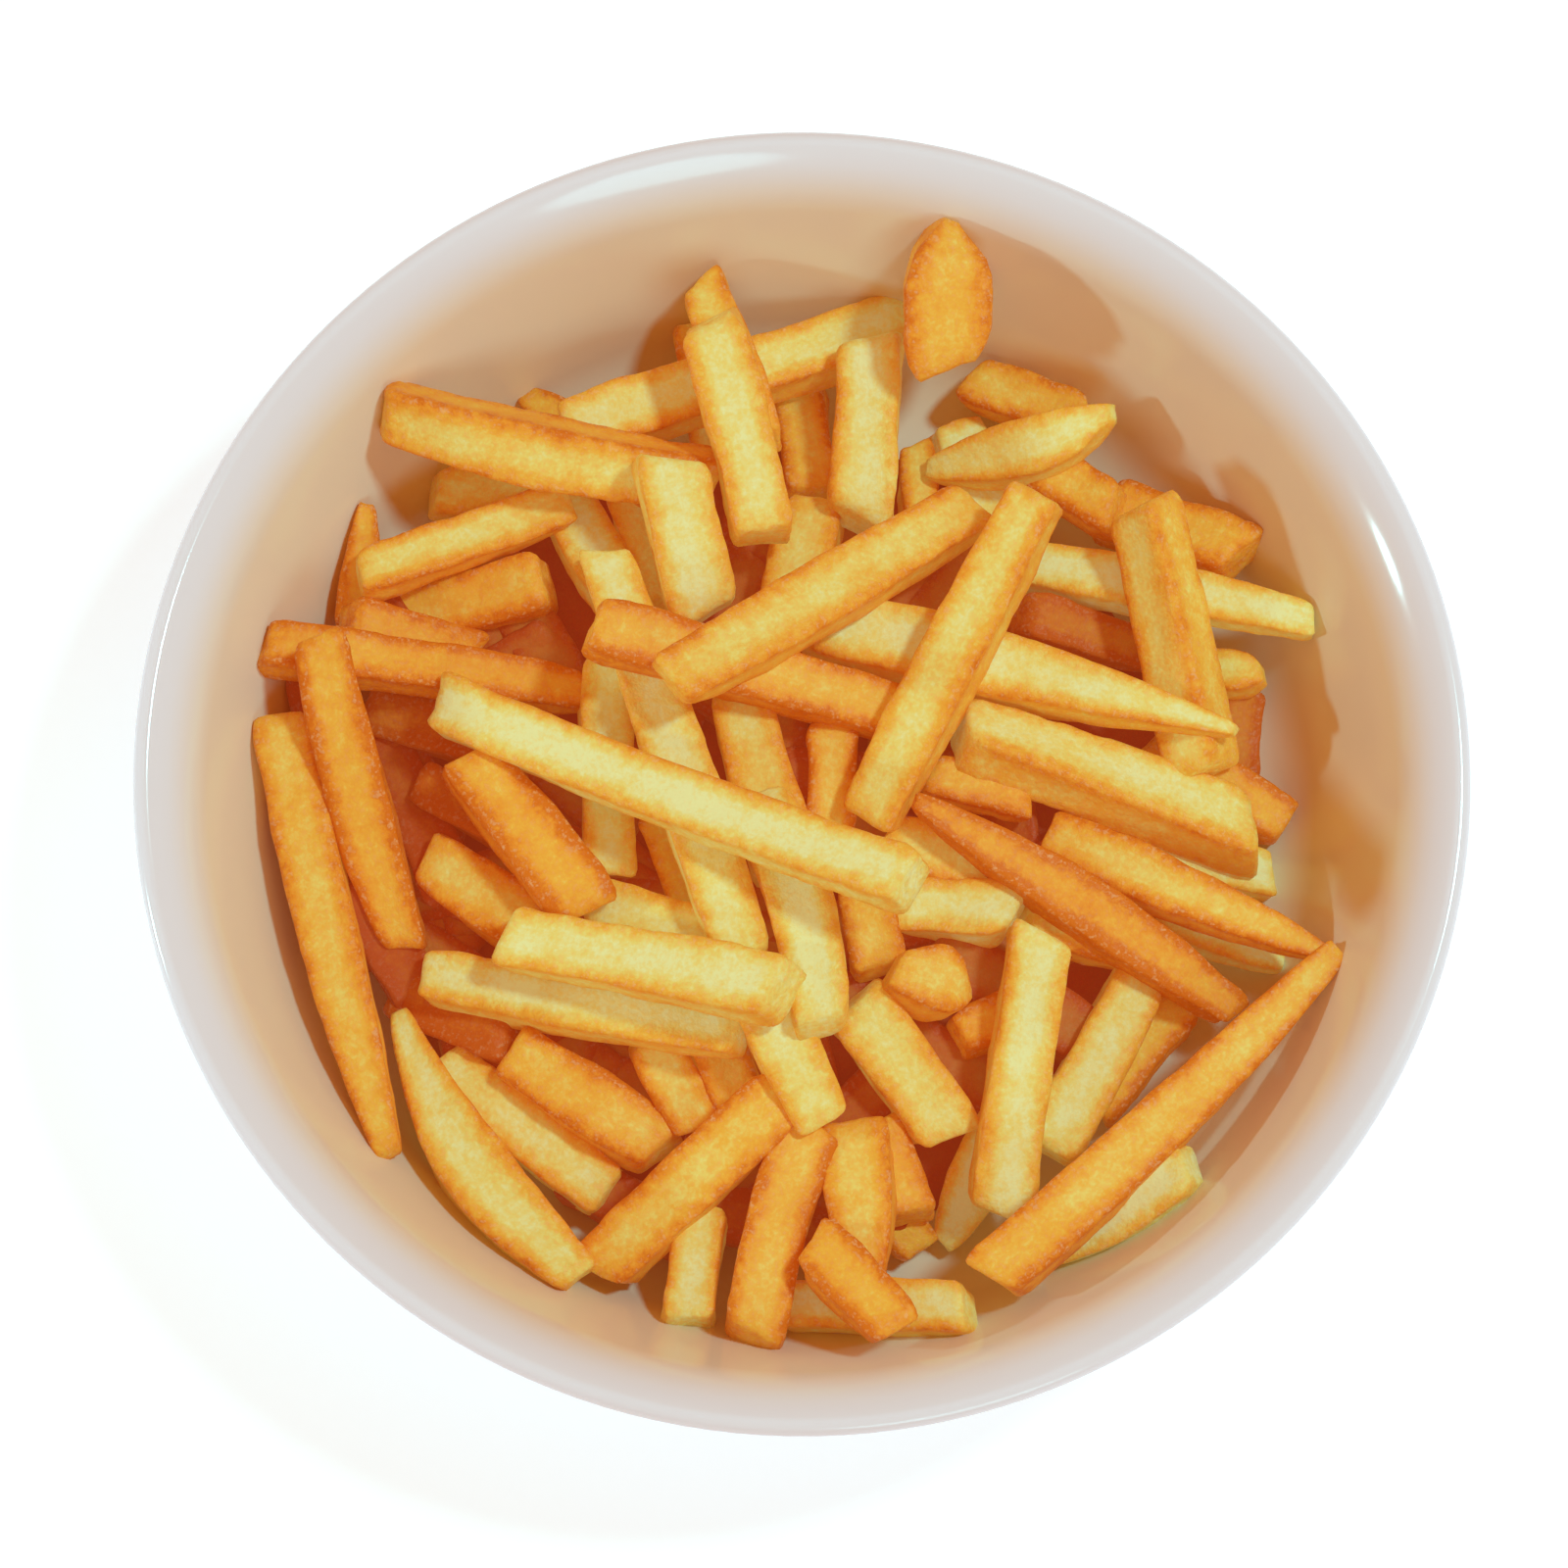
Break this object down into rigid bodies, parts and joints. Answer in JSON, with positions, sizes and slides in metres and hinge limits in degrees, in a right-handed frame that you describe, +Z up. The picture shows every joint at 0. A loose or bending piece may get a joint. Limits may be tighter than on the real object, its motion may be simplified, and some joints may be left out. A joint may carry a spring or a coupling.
{
  "type": "french fries portion in bowl",
  "caption": "Loose heap of thick-cut golden french fries in a shallow round white ceramic bowl with a flared rim.",
  "frame": {"origin": "centre of the bowl's foot ring, on the table", "axes": "+Z up out of the bowl, -Y towards someone who looks down on the heap from the front, +X to their right"},
  "size_m": [0.2, 0.2, 0.0602],
  "materials": {
    "bowl_glaze": "glossy white glaze",
    "fried_potato": "crisp fried crust, pale yellow to golden brown"
  },
  "bodies": {
    "root": {"bowl": "bowl_glaze", "fries_heap": "fried_potato"}
  },
  "joints": []
}
